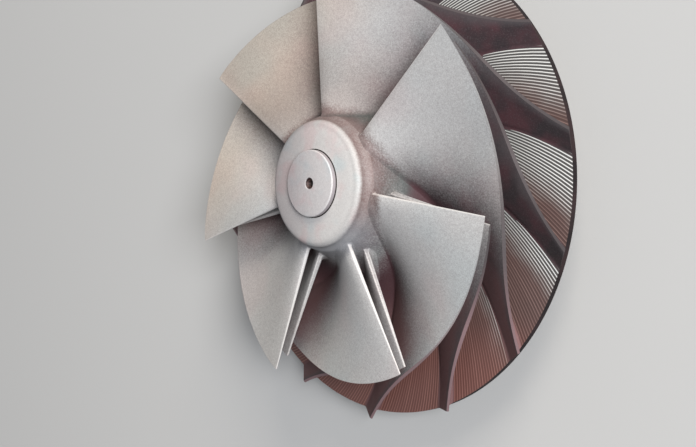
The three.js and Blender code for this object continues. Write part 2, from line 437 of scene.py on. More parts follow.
def weathered_and_shaded(f, share, span):
    """The colour of dust, stain and film with their painted light and shade, and how deep in the film the
    point is.

    The film starts sooner near a root, above all on the upper blades, and later at a tip.
    """
    below = f.math("SUBTRACT", 1.0, span)
    root = f.math("POWER", below, ROOT_FADE)
    upward = at(f, "Y")
    at_root = product(f, root, f.remap(upward, *ROOT_UPWARD, *ROOT_SHIFT))
    at_tip = product(f, f.math("POWER", span, TIP_RISE), TIP_SHIFT)
    upper = f.remap(upward, *WHEEL_UPWARD, *UPPER_SHIFT, smooth=False)
    ragged = total(f, wander(f, *BORDER_WANDER), wander(f, *BORDER_GRAINS))
    depth = total(f, share, product(f, below, SPAN_SHIFT), at_root, at_tip, ragged, upper)
    # How deep in the film: partly deposit and partly painted shade deep in the passages
    deep = f.remap(depth, *FILM_BORDER)
    colour = neck_stain(f, dust_and_painted_light(f))
    return f.mix(product(f, deep, FILM_COVER), colour, film_and_shade_colour(f, share, span, root)), deep


# %% [markdown]
# The blades' finish
#
# The leading edges are rubbed whiter than the faces, and the narrow outer edge that faces the shroud is
# nearly bare of dust, browner on the upper blades and pinker on the lower. Separate strips of mesh could
# carry these, but their borders would show as seams. Two more attributes mark them: edge is full on the
# rounded leading edge, and land is full on the outer edge.

# %% Dusted blade
RUBBED = rgb(0.72, 0.68, 0.66)
EDGE_LAND = rgb(0.072, 0.060, 0.062)
EDGE_PINK = rgb(0.250, 0.160, 0.168)
PINKER_BELOW = (-10 * MM, -90 * MM)
BARE_CHORD, BARE_COVER = (0.15, 0.60), (0.25, 0.9)
RUBBED_SPAN, RUBBED_COVER = (0.04, 0.16), (0.45, 0.10)
BLADE_CLOUDS, BLADE_WAVES, WAVES_STRENGTH = 60.0, 0.4 * MM, 0.12
CLOUD_LEVELS, BLADE_ROUGHNESS, BLADE_SPECULAR = (0.3, 0.7), (0.55, 0.70), (0.4, 0.15)


def dusted_and_shaded_blade():
    f = Finish("dusted_and_shaded_blade")
    span, chord, edge, land = (f.attribute(n) for n in ("span", "chord", "edge", "land"))
    colour, deep = weathered_and_shaded(f, chord, span)
    land_colour = f.mix(f.remap(at(f, "Y"), *PINKER_BELOW), EDGE_LAND, EDGE_PINK)
    colour = f.mix(product(f, land, f.remap(chord, *BARE_CHORD, *BARE_COVER)), colour, land_colour)
    cover = f.remap(deep, 0.0, 1.0, *RUBBED_COVER)
    colour = f.mix(product(f, edge, f.remap(span, *RUBBED_SPAN), cover), colour, RUBBED)
    clouds = f.noise(BLADE_CLOUDS)
    waves = f.bump(clouds, BLADE_WAVES, WAVES_STRENGTH, normal=grit_bump(f))
    f.set(Base_Color=colour, Metallic=0.1, Normal=waves)
    f.set(Roughness=f.remap(clouds, *CLOUD_LEVELS, *BLADE_ROUGHNESS))
    f.set(Specular_IOR_Level=f.remap(deep, 0.0, 1.0, *BLADE_SPECULAR))
    return f.material


blade_material = dusted_and_shaded_blade()
print("blade finish:", len(blade_material.node_tree.nodes), "shader nodes")

# %% [markdown]
# The nose's finish
#
# The nose carries whiter dust than the blades, with smaller patches of pink and blue, a lilac tint painted
# as shade on the far side, and the neck's stain creeping up its side. Its rounded edge is painted a little
# darker than its front, as painted shade.
# It could share the blades' material, but its patches are finer, so it has its own, from the same helpers.

# %% Dusted nose
NOSE_WHITE = rgb(0.635, 0.615, 0.60)
NOSE_PINK = rgb(0.645, 0.56, 0.55)
NOSE_BLUE = rgb(0.565, 0.60, 0.60)
# Painted shade: a lilac darkening on the nose's side away from the light
NOSE_FAR_SHADE = rgb(0.62, 0.595, 0.61)
# Near black: the nose's groove, a dark joint, and painted shade deep in the shaft's centre hole
HOLE = rgb(0.020, 0.014, 0.012)
NOSE_PINK_CLOUDS, NOSE_BLUE_CLOUDS = (38.0, (0.50, 0.66)), (32.0, (0.50, 0.66))
NOSE_GRIT = 0.55
FAR_WAY, FAR_REACH, FAR_WANDER = (1.0, 0.25), (30 * MM, -45 * MM), (30.0, 20 * MM)
# Painted shade: the nose's rounded edge is darker than its front
ROUNDED_RADII, ROUNDED_SHADE = (45 * MM, 52 * MM), (1.0, 0.80)
SIDE_HEIGHTS = (NOSE_SHOULDER + 1.0 * MM, NOSE_SHOULDER - 3.6 * MM)
SIDE_WANDER, SIDE_GRAINS = (60.0, 2 * MM), (700.0, 2 * MM)
GROOVE_RADII = (GROOVE_RADIUS + 0.1 * MM, GROOVE_RADIUS)
GROOVE_HEIGHTS = (nose_high.z, nose_high.z - 0.8 * MM)


def nose_dust_and_shade(f):
    """Whiter dust: faint pink and blue patches, and a lilac tint painted as shade on the side away from the
    light.
    """
    colour = clouded(f, (NOSE_WHITE, NOSE_PINK, NOSE_BLUE), NOSE_PINK_CLOUDS, NOSE_BLUE_CLOUDS)
    # Painted lilac shade on the side away from the light
    far = f.remap(total(f, toward(f, FAR_WAY), wander(f, *FAR_WANDER)), *FAR_REACH)
    return grained(f, tinted(f, far, colour, NOSE_FAR_SHADE), NOSE_GRIT)


def dusted_and_shaded_nose():
    f = Finish("dusted_and_shaded_nose")
    height, radius = at(f, "Z"), from_axis(f)
    # The rounded edge is painted darker, as painted shade
    shade = f.remap(radius, *ROUNDED_RADII, *ROUNDED_SHADE)
    colour = tinted(f, 1.0, nose_dust_and_shade(f), f.add("CombineXYZ", {0: shade, 1: shade, 2: shade}))
    ragged = total(f, wander(f, *SIDE_WANDER), wander(f, *SIDE_GRAINS))
    colour = stained(f, f.remap(total(f, height, ragged), *SIDE_HEIGHTS), colour)
    groove = product(f, f.remap(radius, *GROOVE_RADII), f.remap(height, *GROOVE_HEIGHTS))
    f.set(Base_Color=f.mix(groove, colour, HOLE), Metallic=0.1, Roughness=0.62, Normal=grit_bump(f))
    return f.material


nose_material = dusted_and_shaded_nose()
print("nose finish:", len(nose_material.node_tree.nodes), "shader nodes")

# %% [markdown]
# The milled floor's finish
#
# A ball-nosed cutter has left the floor in shallow grooves that run with the passages and meet in sharp
# cusps. The crests catch the light as thin bright lines, and dirt lies in the grooves. Stripes of colour
# alone would look printed, because they ignore the light. So the mesh carries the real grooves, and the
# attributes groove, across and along say where a point lies in its groove and its passage. The colour then
# paints the crests near white as a painted highlight, and the troughs dark with dirt and painted shade. Both
# turn browner on one side of each passage and redder lower down, and the crests' highlight dims towards
# the inner end.

# %% Milled steel
# Painted highlight: the crests near white, standing in for the light they catch
CREST_HIGHLIGHT = rgb(0.95, 0.94, 0.91)
CREST_BROWN = rgb(0.21, 0.135, 0.122)
CREST_RED = rgb(0.30, 0.150, 0.125)
# Troughs: dirt, and painted shade on the groove sides that the light misses
TROUGH = rgb(0.100, 0.095, 0.093)
TROUGH_BROWN = rgb(0.090, 0.055, 0.050)
TROUGH_RED = rgb(0.150, 0.064, 0.054)
BROWNER_ACROSS = (0.30, 0.80)
BROWNER_BELOW, BROWNER_SHIFT = (50 * MM, -70 * MM), (0.0, 0.45)
RED_BELOW = (-50 * MM, -130 * MM)
DULL_ALONG, DULL_COVER = (0.96, 0.84), (0.0, 0.35)
FILMED_ALONG = (0.84, 0.68)
FILLET_ACROSS = (0.41, 0.43)
GROOVE_SHADE_AND_DIRT = (0.22, 0.68)
STRANDS_ACROSS, STRANDS_ALONG = 40.0, 5.0
STRANDS, STRANDS_COVER = (1.0, (0.40, 0.62)), (0.0, 0.45)
SIDE_SHIFT, RED_SHIFT, ALONG_SHIFT = (28.0, 0.5), 50 * MM, (28.0, 0.06)
FLOOR_SHINE, FLOOR_ROUGHNESS, FLOOR_SPECULAR = (0.35, 0.15), (0.34, 0.62), (0.5, 0.2)
SCRATCH_SCALE, SCRATCH_HEIGHT, SCRATCH_STRENGTH = 1600.0, 0.08 * MM, 0.4


def dirty_lines(f, across, along):
    """Streaks of dirt that run with the grooves: noise drawn out along the passage."""
    sides = {0: product(f, across, STRANDS_ACROSS), 1: product(f, along, STRANDS_ALONG), 2: at(f, "Y")}
    return patches(f, *STRANDS, STRANDS_COVER, detail=2.0, place=f.add("CombineXYZ", sides))


def milled_floor_with_highlights():
    f = Finish("milled_floor_with_highlights")
    groove, across, along = (f.attribute(n) for n in ("groove", "across", "along"))
    upward, shift = at(f, "Y"), wander(f, *SIDE_SHIFT)
    lower = f.remap(upward, *BROWNER_BELOW, *BROWNER_SHIFT)
    browner_side = f.remap(total(f, across, shift, lower), *BROWNER_ACROSS)
    red = f.remap(total(f, upward, product(f, shift, RED_SHIFT)), *RED_BELOW)
    # The crests' painted highlight turns browner across each passage and redder lower down
    crest = f.mix(red, f.mix(browner_side, CREST_HIGHLIGHT, CREST_BROWN), CREST_RED)
    trough = f.mix(red, f.mix(browner_side, TROUGH, TROUGH_BROWN), TROUGH_RED)
    wavering = total(f, along, wander(f, *ALONG_SHIFT))
    dull = f.remap(wavering, *DULL_ALONG, *DULL_COVER)
    streaks = product(f, dirty_lines(f, across, along), browner_side)
    on_fillet = f.remap(f.math("ABSOLUTE", f.math("SUBTRACT", across, 0.5)), *FILLET_ACROSS)
    # The painted highlight dims towards the inner end, on the fillets and under dirt streaks
    crest = f.mix(f.math("ADD", total(f, dull, streaks), on_fillet, clamp=True), crest, trough)
    # Across each groove: painted highlight on the crest, then dirt and painted shade in the trough
    steel = f.mix(f.remap(groove, *GROOVE_SHADE_AND_DIRT), crest, trough)
    inner = f.remap(wavering, *FILMED_ALONG)
    shine = product(f, f.math("SUBTRACT", 1.0, inner), f.remap(browner_side, 0.0, 1.0, *FLOOR_SHINE))
    f.set(Base_Color=f.mix(inner, steel, weathered_and_shaded(f, along, 0.0)[0]), Metallic=shine)
    f.set(Roughness=f.remap(inner, 0.0, 1.0, *FLOOR_ROUGHNESS))
    f.set(Specular_IOR_Level=f.remap(inner, 0.0, 1.0, *FLOOR_SPECULAR))
    scratches = f.noise(SCRATCH_SCALE, detail=2.0, roughness=0.7)
    f.set(Normal=f.bump(scratches, SCRATCH_HEIGHT, SCRATCH_STRENGTH))
    return f.material


floor_material = milled_floor_with_highlights()
print("floor finish:", len(floor_material.node_tree.nodes), "shader nodes")

# %% [markdown]
# Turned and filmed surfaces
#
# The rear boss and the back of the disc were finished on a lathe, which leaves fine rings. They could be
# modelled as the cusps are, but they are far finer, so a bump from a sine of the distance from the axis is
# enough. The shaft's end wears the nose's dust, with a dark clot in its centre hole and painted shade deeper
# down it, and the rim's edge has only the dark film.

# %% Turned steel
BARE_STEEL = rgb(0.46, 0.45, 0.44)
AGED = rgb(0.62, 0.54, 0.50)
AGED_COVER = 0.35
RING_PITCH, RING_DEPTH, RING_STRENGTH = 0.9 * MM, 0.05 * MM, 0.6
RING_WANDER = (20.0, 0.6 * MM)
STEEL_MOTTLE, STEEL_ROUGHNESS = (35.0, (0.35, 0.7)), (0.28, 0.42)


def turned_steel():
    f = Finish("turned_back")
    radius = total(f, from_axis(f), wander(f, *RING_WANDER))
    rings = f.math("SINE", product(f, radius, math.tau / RING_PITCH))
    mottle = patches(f, *STEEL_MOTTLE, detail=4.0, roughness=0.6)
    colour = f.mix(product(f, mottle, AGED_COVER), BARE_STEEL, tinted(f, 1.0, BARE_STEEL, AGED))
    f.set(Base_Color=colour, Metallic=0.95, Normal=f.bump(rings, RING_DEPTH, RING_STRENGTH))
    f.set(Roughness=f.remap(mottle, 0.0, 1.0, *STEEL_ROUGHNESS))
    return f.material


back_material = turned_steel()
print("lathe rings stand", round(RING_PITCH / MM, 2), "mm apart")

# %% Dusted shaft end and filmed rim
SHAFT_TINT = rgb(0.95, 0.94, 0.96)
SHAFT_WALL = rgb(0.30, 0.27, 0.28)
CLOT, CLOT_RED = rgb(0.012, 0.006, 0.005), rgb(0.075, 0.035, 0.030)
RIM_FILM, RIM_FILM_RED = rgb(0.016, 0.012, 0.013), rgb(0.030, 0.018, 0.019)
WALL_RADII, CLOT_RADII = (10 * MM, 12 * MM), (6 * MM, 5 * MM)
# HOLE_DEPTHS: where the painted shade in the centre hole begins and is full
WALL_DEPTHS, CLOT_DEPTHS, HOLE_DEPTHS = (0.5 * MM, 1.4 * MM), (0.0 * MM, 0.8 * MM), (3.6 * MM, 4.8 * MM)
CLOT_WANDER, CLOT_SPECKS = (300.0, 0.8 * MM), (900.0, (0.42, 0.62))
RIM_PATCHES = (40.0, (0.4, 0.6))


def below_face(start, end):
    """The heights of two depths below the shaft's end face."""
    return shaft_high.z - start, shaft_high.z - end


def dusted_and_shaded_shaft():
    f = Finish("dusted_and_shaded_shaft")
    height, radius = at(f, "Z"), from_axis(f)
    colour = tinted(f, 1.0, nose_dust_and_shade(f), SHAFT_TINT)
    wall = product(f, f.remap(height, *below_face(*WALL_DEPTHS)), f.remap(radius, *WALL_RADII))
    colour = f.mix(wall, colour, SHAFT_WALL)
    uneven = total(f, height, wander(f, *CLOT_WANDER))
    inside = product(f, f.remap(uneven, *below_face(*CLOT_DEPTHS)), f.remap(radius, *CLOT_RADII))
    colour = f.mix(inside, colour, f.mix(patches(f, *CLOT_SPECKS, detail=2.0), CLOT, CLOT_RED))
    # Deep in the centre hole the colour is painted near black, as painted shade
    colour = f.mix(f.remap(height, *below_face(*HOLE_DEPTHS)), colour, HOLE)
    f.set(Base_Color=colour, Metallic=0.1, Roughness=0.6, Normal=grit_bump(f))
    return f.material


def filmed_rim():
    f = Finish("filmed_rim")
    f.set(Base_Color=f.mix(patches(f, *RIM_PATCHES), RIM_FILM, RIM_FILM_RED))
    f.set(Metallic=0.2, Roughness=0.7, Specular_IOR_Level=0.2)
    return f.material


shaft_material = dusted_and_shaded_shaft()
rim_material = filmed_rim()
print("shaft finish:", len(shaft_material.node_tree.nodes), "shader nodes")
print("rim finish:", len(rim_material.node_tree.nodes), "shader nodes")

# %% [markdown]
# From a bmesh to a piece
#
# A finished bmesh becomes an object at the origin, riding on the part's one body. Edges sharper than a
# given angle stay crisp, and the rest shade smoothly, as milled metal does. A modifier could split the
# crisp edges, but marks on them keep each piece one closed surface.

# %% The last step of every piece
SHARP = math.radians(32)
MERGE_DISTANCE = 0.002 * MM


def piece_from(bm, name, material, nodes, crisp=()):
    bmesh.ops.remove_doubles(bm, verts=bm.verts, dist=MERGE_DISTANCE)
    bmesh.ops.recalc_face_normals(bm, faces=bm.faces)
    for face in bm.faces:
        face.smooth = True
    for edge in bm.edges:
        edge.smooth = not (edge.is_boundary or edge.calc_face_angle(0) > SHARP)
    for edge in crisp:
        if edge.is_valid:
            edge.smooth = False
    mesh = bpy.data.meshes.new(name)
    bm.to_mesh(mesh)
    bm.free()
    mesh.materials.append(material)
    obj = bpy.data.objects.new(name, mesh)
    bpy.context.scene.collection.objects.link(obj)
    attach(obj, "root")
    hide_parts(*nodes)
    print(name, "has", len(mesh.polygons), "faces")
    return obj


# %% [markdown]
# The floor and the disc
#
# On the wheel the floor is cut with a ball-nosed tool, one groove beside the next. A boolean cut for each
# groove would be slow and leave slivers. Here one passage of the floor is a grid: its columns cross the
# passage from one blade's foot to the next and its rows run from the inlet to the rim. Each vertex is moved
# to its place on the hub, and pushed down between the crests. Spinning fourteen copies round the axis closes
# the floor, and extruding its outer edge makes the rim, the back and the bore.

# %% Sizes of the floor and the disc
PASSAGES = 2 * BLADES
PASSAGE = 360 / PASSAGES
GROOVES = 28
FACETS = 4
FLOOR_ROWS = 48
SLOPE_STEP = 0.004
CUTTER_RADIUS = 5.5 * MM
RIM_THICKNESS = 6 * MM
RIM_TOP_EDGE, RIM_EDGE = 0.45 * MM, 0.4 * MM
BACK_BEND, BACK_SLOPE = 160 * MM, 2 * MM
BACK_FLAT = 82 * MM
BACK_SLOT, RIM_SLOT = 1, 2
TINY, SAME_END = 1e-6, 1e-4


# %% Milled floor
def round_axis(point):
    return Vector((-point.y, point.x, 0)).normalized()


def floor_normal(t, turn):
    run = floor_point(min(1, t + SLOPE_STEP), turn) - floor_point(max(0, t - SLOPE_STEP), turn)
    return round_axis(floor_point(t, turn)).cross(run).normalized() * -1


def groove_dip(column):
    """How far down its groove a column lies: 0 on a crest and 1 at the bottom."""
    phase = (column % FACETS) / FACETS
    return 1 - (2 * phase - 1) ** 2


def mark_crests(bm, tags):
    """Keeps the edges that run along a crest crisp."""
    for edge in bm.edges:
        first, second = edge.verts
        if first[tags["groove"]] == 0 and second[tags["groove"]] == 0:
            edge.smooth = abs(first[tags["across"]] - second[tags["across"]]) >= TINY


def milled_hub():
    bm = bmesh.new()
    tags = {name: bm.verts.layers.float.new(name) for name in ("groove", "across", "along")}
    columns = GROOVES * FACETS
    bmesh.ops.create_grid(bm, x_segments=columns, y_segments=FLOOR_ROWS, size=0.5)
    for vert in bm.verts:
        column = round((vert.co.x + 0.5) * columns)
        across, along = column / columns, vert.co.y + 0.5
        turn = FIRST_BLADE - across * PASSAGE
        spot = floor_point(along, turn)
        width = math.hypot(spot.x, spot.y) * math.radians(PASSAGE) / GROOVES
        depth = width ** 2 / (8 * CUTTER_RADIUS)
        vert[tags["groove"]] = groove_dip(column)
        vert[tags["across"]] = across
        vert[tags["along"]] = along
        vert.co = spot - floor_normal(along, turn) * depth * groove_dip(column)
    mark_crests(bm, tags)
    geometry = bm.verts[:] + bm.edges[:] + bm.faces[:]
    bmesh.ops.spin(bm, geom=geometry, cent=(0, 0, 0), axis=(0, 0, 1), steps=PASSAGES - 1,
                   angle=-math.tau * (PASSAGES - 1) / PASSAGES, use_duplicate=True)
    bmesh.ops.remove_doubles(bm, verts=bm.verts, dist=2 * MERGE_DISTANCE)
    return bm, tags


hub_bm, hub_tags = milled_hub()
print("floor grooves:", PASSAGES * GROOVES, "with", len(hub_bm.faces), "faces")


# %% Rim, back and bore
def ring_at(bm, tags, along):
    """The open edges at one end of the floor."""
    ends = {v for v in bm.verts if abs(v[tags["along"]] - along) < SAME_END}
    return [e for e in bm.edges if e.is_boundary and ends.issuperset(e.verts)]


def extrude_ring(bm, ring, radius, height, slot=BACK_SLOT):
    """Extrudes a ring of edges and places the new ring at one radius and height."""
    made = bmesh.ops.extrude_edge_only(bm, edges=ring)["geom"]
    for vert in (v for v in made if isinstance(v, bmesh.types.BMVert)):
        flat = Vector((vert.co.x, vert.co.y, 0)).normalized() * radius
        vert.co = (flat.x, flat.y, height)
    for face in (f for f in made if isinstance(f, bmesh.types.BMFace)):
        face.material_index = slot
    return [e for e in made if isinstance(e, bmesh.types.BMEdge) and e.is_boundary]


def close_hub(bm, tags):
    rim_bottom = RIM_HEIGHT - RIM_THICKNESS
    back = [(RIM_RADIUS - RIM_EDGE, rim_bottom), (BACK_BEND, rim_bottom - BACK_SLOPE),
            (BACK_FLAT, disc_low.z), (BORE_RADIUS, disc_low.z)]
    outer = ring_at(bm, tags, 1.0)
    inner = ring_at(bm, tags, 0.0)
    outer = extrude_ring(bm, outer, RIM_RADIUS, RIM_HEIGHT - RIM_TOP_EDGE, RIM_SLOT)
    outer = extrude_ring(bm, outer, RIM_RADIUS, rim_bottom + RIM_EDGE, RIM_SLOT)
    for radius, height in back:
        outer = extrude_ring(bm, outer, radius, height)
    inner = extrude_ring(bm, inner, BORE_RADIUS, RIM_HEIGHT + INLET_HEIGHT)
    for face in bmesh.ops.bridge_loops(bm, edges=outer + inner)["faces"]:
        face.material_index = BACK_SLOT


close_hub(hub_bm, hub_tags)
crests = [e for e in hub_bm.edges if not e.smooth]
hub = piece_from(hub_bm, "milled_hub", floor_material,
                 ["inducer_hub", "exducer_hub", "back_disc"], crests)
hub.data.materials.append(back_material)
hub.data.materials.append(rim_material)

# %% [markdown]
# The blades
#
# A blade is ruled: a straight line from a point on the floor to a point on the shroud line sweeps its whole
# surface, because the side of a cutter has to lie along it. A bare sheet with a Solidify modifier would give
# it an even thickness and no fillet. So the mesh starts as a cube, cut into a fine grid along the blade and
# up it, and each vertex is then moved on to the blade. Near the root the faces run out into the fillet that
# the ball-nosed cutter leaves: an arc that touches both the face and the floor, at whatever angle they meet.

# %% Blade sizes
# Thickness at the root and the tip: along the blade, and at its leading edge
ROOT_THICKNESS, TIP_THICKNESS = 6.5 * MM, 3.2 * MM
ROOT_EDGE, TIP_EDGE = 1.8 * MM, 1.1 * MM
# Shares of the blade's length: the rounded edge, the taper behind it, and where its end is turned to the rim
EDGE_SHARE, EDGE_TAPER, TRIMMED_FROM = 0.004, 0.06, 0.8
# How finely the mesh is cut: round the leading edge, along the blade, up its fillet, and up its face
EDGE_STEPS, BODY_STEPS, FILLET_STEPS, SPAN_STEPS = 5, 70, 8, 12
BODY_CROWDING = 1.15
WALL_STEPS = 600
# How deep the root is sunk in the floor, and how far the fillet's toe is tucked under it
SUNK, TUCK = 1.2 * MM, 0.2 * MM
# A row of vertices this far below the outer edge keeps the land's colour off the face
LAND_LINE = 0.4 * MM
# Bounds for a blade that leans far over its floor, and for the fillet in a narrow corner
LEAST_TILT, LARGEST_FILLET = 0.35, 0.6
# Where a splitter starts on the floor and on the shroud line, and how much sooner its tip's dust ends
SPLITTER_START = (0.184, 0.30)
SPLITTER_TIP_DUST = 1.9


# %% The walls as lines to stand on
def wall_line(radii, heights):
    steps = [i / WALL_STEPS for i in range(WALL_STEPS + 1)]
    return [(bezier(radii, t) * MM, RIM_HEIGHT + bezier(heights, t) * MM) for t in steps]


beyond_rim = (RIM_RADIUS + 30 * MM, RIM_HEIGHT - 5 * MM)
floor_line = [*reversed(neck_line), *wall_line(FLOOR_RADII, FLOOR_HEIGHTS), beyond_rim]
shroud_line = wall_line(SHROUD_RADII, SHROUD_HEIGHTS)


def set_height(point, line, wanted):
    """Moves a point square to a wall so that it stands this far off it."""
    radius = math.hypot(point.x, point.y)
    gaps = [(r - radius) ** 2 + (z - point.z) ** 2 for r, z in line]
    best = min(range(1, len(line)), key=gaps.__getitem__)
    (r0, z0), (r1, z1) = line[best - 1], line[best]
    length = math.hypot(r1 - r0, z1 - z0)
    normal = ((z0 - z1) / length, (r1 - r0) / length)
    move = wanted - (radius - r1) * normal[0] - (point.z - z1) * normal[1]
    out = Vector((point.x, point.y, 0)).normalized()
    return point + out * normal[0] * move + Vector((0, 0, normal[1] * move))


print("the floor line has", len(floor_line), "points, from the nose to past the rim")

# %% Thickness and fillets
FILLET_START = 3 * MM
CLOCKWISE_FILLET, CLOCKWISE_LOSS = 9 * MM, 3.5 * MM
BEHIND_FILLET, BEHIND_LOSS = 5 * MM, 2.8 * MM
FILLET_GROWS, FILLET_SHRINKS = (0.0, 0.08), (0.25, 0.8)


def ease(value, low, high):
    t = min(1.0, max(0.0, (value - low) / (high - low)))
    return t * t * (3 - 2 * t)


def blend(a, b, t):
    return a + (b - a) * t


def half_thickness(share, at_edge, full):
    """Half a blade's thickness: thin at the leading edge, and full from a few hundredths of its length on."""
    taper = min(1.0, max(share, EDGE_SHARE) / EDGE_TAPER)
    return blend(at_edge, full, math.sqrt(taper * (2 - taper))) / 2


def fillet_radius(share, turn):
    """The fillet at the root: small round the leading edge, and large on the face that looks clockwise."""
    largest, loss = (CLOCKWISE_FILLET, CLOCKWISE_LOSS) if turn > 0 else (BEHIND_FILLET, BEHIND_LOSS)
    side = blend(FILLET_START, largest, ease(share, *FILLET_GROWS)) - loss * ease(share, *FILLET_SHRINKS)
    return blend(FILLET_START, side, math.sin(turn) ** 2)


# %% One point of a blade
class BladeShape:
    """Places a blade's points. Share runs from its leading edge to the rim, turn round its leading edge."""

    def __init__(self, floor_start, shroud_start):
        self.floor_start, self.shroud_start = floor_start, shroud_start

    def foot(self, share):
        return floor_point(blend(self.floor_start, 1, share))

    def tip(self, share):
        return shroud_point(blend(self.shroud_start, 1, share))

    def course(self, share, place):
        return (place(min(1, share + SLOPE_STEP)) - place(max(0, share - SLOPE_STEP))).normalized()

    def trimmed(self, spot, share, along, level):
        """Slides a point along the blade so that near the rim its end is turned to one cone."""
        ring = self.foot(share).lerp(self.tip(share), level)
        out = Vector((spot.x, spot.y, 0)).normalized()
        slide = (math.hypot(ring.x, ring.y) - math.hypot(spot.x, spot.y)) / along.dot(out)
        return spot + along * slide * ease(share, TRIMMED_FROM, 1.0)

    def column(self, share, turn):
        """All points of one station on one side, from the sunk root to the tip."""
        foot, tip = self.foot(share), self.tip(share)
        along, tip_along = self.course(share, self.foot), self.course(share, self.tip)
        up = floor_normal(blend(self.floor_start, 1, share), 0.0)
        lean = (tip - foot).normalized()
        across, tip_across = along.cross(up).normalized(), tip_along.cross(lean).normalized()
        tilt = max(LEAST_TILT, along.cross(lean).normalized().dot(across))
        heading = across * math.sin(turn) - along * math.cos(turn)
        corner = foot + across * (math.sin(turn) * half_thickness(share, ROOT_EDGE, ROOT_THICKNESS) / tilt)
        edge = tip + tip_across * (math.sin(turn) * half_thickness(share, TIP_EDGE, TIP_THICKNESS))
        ruling = edge - corner
        half_angle = heading.angle(ruling) / 2
        radius = min(fillet_radius(share, turn), LARGEST_FILLET * ruling.length * math.tan(half_angle))
        reach = radius / math.tan(half_angle)
        points = []
        for step in range(FILLET_STEPS + 1):
            swing = (math.pi - 2 * half_angle) * step / FILLET_STEPS
            height = radius * (1 - math.cos(swing))
            spot = corner + heading * (reach - radius * math.sin(swing)) + up * height
            spot = self.trimmed(spot, share, along, height / (lean.dot(up) * (tip - foot).length))
            points.append(set_height(spot, floor_line, height - TUCK))
        edge = set_height(self.trimmed(edge, share, along, 1.0), shroud_line, 0.0)
        face = [points[-1].lerp(edge, step / SPAN_STEPS) for step in range(1, SPAN_STEPS)]
        line = edge + (points[-1] - edge).normalized() * LAND_LINE
        return [set_height(points[0], floor_line, -SUNK), *points, *face, line, edge]


# %% From a cube to a blade
def blade_stations():
    """Share and turn of every station: close together round the leading edge, then evenly to the rim."""
    quarter = [math.radians(90 * i / EDGE_STEPS) for i in range(EDGE_STEPS)]
    rounded = [(EDGE_SHARE * (1 - math.cos(turn)), turn) for turn in quarter]
    shares = [(i / BODY_STEPS) ** BODY_CROWDING for i in range(BODY_STEPS + 1)]
    return rounded + [(blend(EDGE_SHARE, 1, share), math.pi / 2) for share in shares]


def cut_cube(bm, axis, cuts):
    edges = [e for e in bm.edges if abs((e.verts[0].co - e.verts[1].co)[axis]) > TINY]
    bmesh.ops.subdivide_edges(bm, edges=edges, cuts=cuts, use_grid_fill=True)


def blade_mesh(floor_start, shroud_start):
    shape = BladeShape(floor_start, shroud_start)
    stations = blade_stations()
    last, rows = len(stations) - 1, FILLET_STEPS + SPAN_STEPS + 2
    columns = {(i, side): shape.column(share, turn * side)
               for i, (share, turn) in enumerate(stations) for side in (1, -1)}
    bm = bmesh.new()
    tags = {name: bm.verts.layers.float.new(name) for name in ("span", "chord", "edge", "land")}
    bmesh.ops.create_cube(bm, size=1)
    cut_cube(bm, 0, last - 1)
    cut_cube(bm, 2, rows - 1)
    root_row = FILLET_STEPS / 2
    for vert in bm.verts:
        station = round((vert.co.x + 0.5) * last)
        row = round((vert.co.z + 0.5) * rows)
        side = 1 if vert.co.y > 0 else -1
        share, turn = stations[station]
        vert.co = columns[station, side][row]
        span = min(1.0, max(0.0, row - root_row) / (rows - 1 - root_row))
        at_foot = blend(floor_start, 1, share)
        at_tip = blend(SPLITTER_TIP_DUST * shroud_start, 1, share)
        vert[tags["span"]] = span
        vert[tags["chord"]] = blend(at_foot, at_tip, span)
        vert[tags["edge"]] = math.cos(turn)
        vert[tags["land"]] = 1.0 if row == rows else 0.0
    return bm


# %% All fourteen blades
def make_blades(kind, floor_start, shroud_start, turn):
    for number in range(BLADES):
        bm = blade_mesh(floor_start, shroud_start)
        bmesh.ops.rotate(bm, verts=bm.verts, cent=(0, 0, 0),
                         matrix=Matrix.Rotation(math.radians(turn - number * PITCH), 3, "Z"))
        name = f"{kind}_blade_{number + 1}"
        piece_from(bm, f"{name}_skin", blade_material, [name])


make_blades("full", 0.0, 0.0, FIRST_BLADE)
make_blades("splitter", *SPLITTER_START, FIRST_BLADE + PITCH / 2)

# %% [markdown]
# The nose, the shaft's end and the rear boss
#
# All three were turned on a lathe, so each is an outline spun round the axis. Cylinders with a Bevel modifier
# would give every edge the same round. An outline gives each its own: the nose rounds over from its side to
# its front face, the shaft stands a little proud of it, with a chamfered edge and a lathe centre hole, and
# the boss that the wheel rests on has a rounded foot.

# %% Turned outlines
NOSE_FACETS, SHAFT_FACETS = 160, 128


def spun(outline, steps):
    """A closed turned shape: an outline of (radius, height), from axis to axis or closed, spun about +Z."""
    bm = bmesh.new()
    chain = [bm.verts.new((radius, 0, height)) for radius, height in outline]
    edges = [bm.edges.new(pair) for pair in zip(chain, chain[1:])]
    bmesh.ops.spin(bm, geom=chain + edges, cent=(0, 0, 0), axis=(0, 0, 1), angle=math.tau,
                   steps=steps, use_merge=True)
    bmesh.ops.remove_doubles(bm, verts=bm.verts, dist=MERGE_DISTANCE)
    return bm


def arc(centre, radius, start, end, steps):
    """Points of an arc, in (radius, height), between two angles in degrees."""
    angles = [math.radians(start + (end - start) * i / steps) for i in range(steps + 1)]
    return [(centre[0] + radius * math.cos(a), centre[1] + radius * math.sin(a)) for a in angles]


# %% Nose
GROOVE_DEPTH = 3 * MM
nose_outline = [
    (BORE_RADIUS, inlet[1]),
    *neck_line,
    *arc(corner_middle, NOSE_CORNER, start=9, end=81, steps=8),
    *dome_line,
    (GROOVE_RADIUS, nose_high.z - GROOVE_LIP),
    (GROOVE_RADIUS, nose_high.z - GROOVE_DEPTH),
    (BORE_RADIUS, nose_high.z - GROOVE_DEPTH),
    (BORE_RADIUS, inlet[1]),
]
piece_from(spun(nose_outline, NOSE_FACETS), "hub_nose_skin", nose_material, ["hub_nose"])

